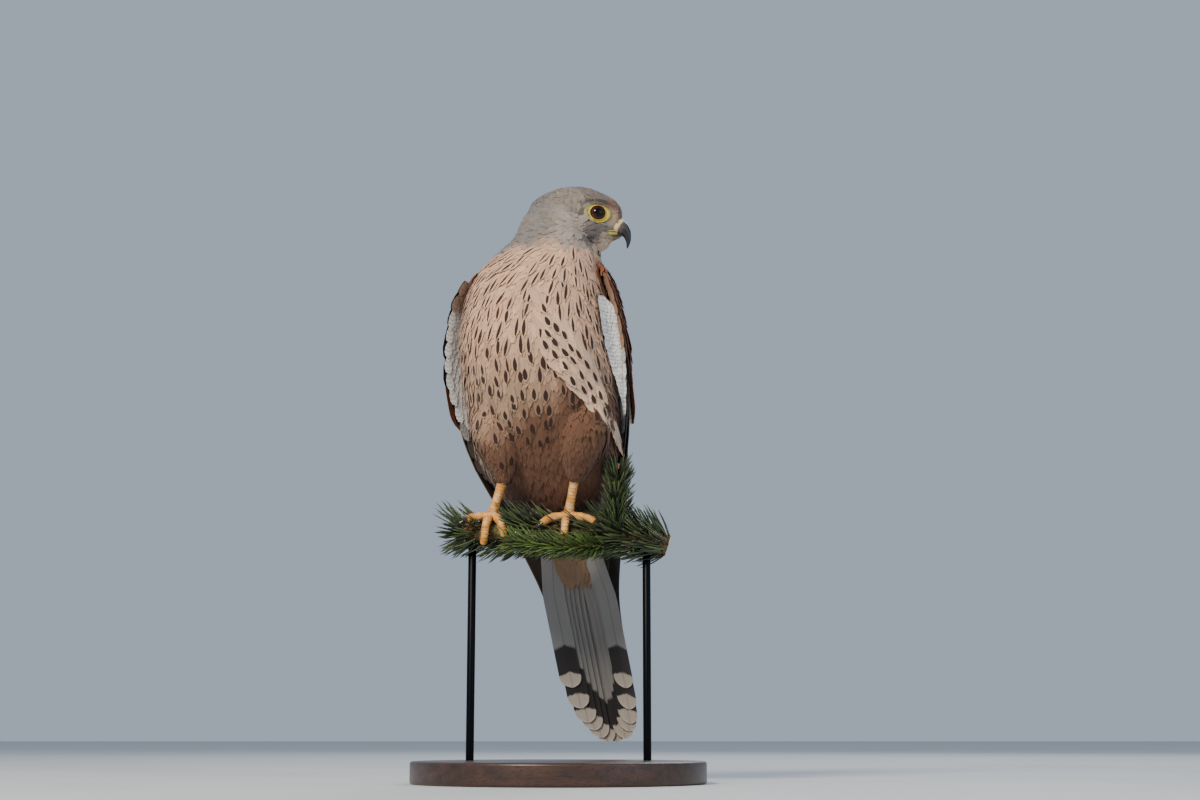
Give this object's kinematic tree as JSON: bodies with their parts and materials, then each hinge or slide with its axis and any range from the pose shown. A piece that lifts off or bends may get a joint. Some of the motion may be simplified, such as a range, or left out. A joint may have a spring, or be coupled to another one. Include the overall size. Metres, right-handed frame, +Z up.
{
  "type": "perched common kestrel model on a display stand",
  "caption": "Still, life-size model of a perched male common kestrel gripping a short cut length of spruce branch, carried by two rods on a round flat base.",
  "frame": {"origin": "middle of the stand base's underside", "axes": "+Z up; -Y towards the viewer of the picture; +X to that viewer's right, along the perch"},
  "size_m": [0.16, 0.16, 0.3314],
  "materials": {
    "grey_plumage": "soft matt contour feathers, blue-grey with fine dark shafts",
    "buff_plumage": "soft matt contour feathers, pinkish buff with dark streaks and drops",
    "rufous_plumage": "smooth wing feathers, rufous with dark spots and dark primaries",
    "tail_plumage": "smooth tail feathers, grey with a black band and pale tips",
    "yellow_skin": "bare scaled skin, waxy satin, orange yellow",
    "dark_horn": "polished dark horn, blue-grey at the bill's base",
    "eye": "wet gloss, dark brown",
    "spruce": "brown bark under dark green needles",
    "base_wood": "dark stained wood, satin lacquer",
    "rod_metal": "satin black rod"
  },
  "bodies": {
    "root": {"head": "grey_plumage", "neck": "buff_plumage", "torso": "buff_plumage", "tail": "tail_plumage", "wing_left": "rufous_plumage", "wing_right": "rufous_plumage", "thigh_left": "buff_plumage", "thigh_right": "buff_plumage", "foot_left": "yellow_skin", "foot_right": "yellow_skin", "cere": "yellow_skin", "bill_upper": "dark_horn", "bill_lower": "dark_horn", "claw_left_inner": "dark_horn", "claw_left_middle": "dark_horn", "claw_left_outer": "dark_horn", "claw_left_hind": "dark_horn", "claw_right_inner": "dark_horn", "claw_right_middle": "dark_horn", "claw_right_outer": "dark_horn", "claw_right_hind": "dark_horn", "eye_left": "eye", "eye_right": "eye", "perch_branch": "spruce", "stand_base": "base_wood", "stand_rod_left": "rod_metal", "stand_rod_right": "rod_metal"}
  },
  "joints": []
}
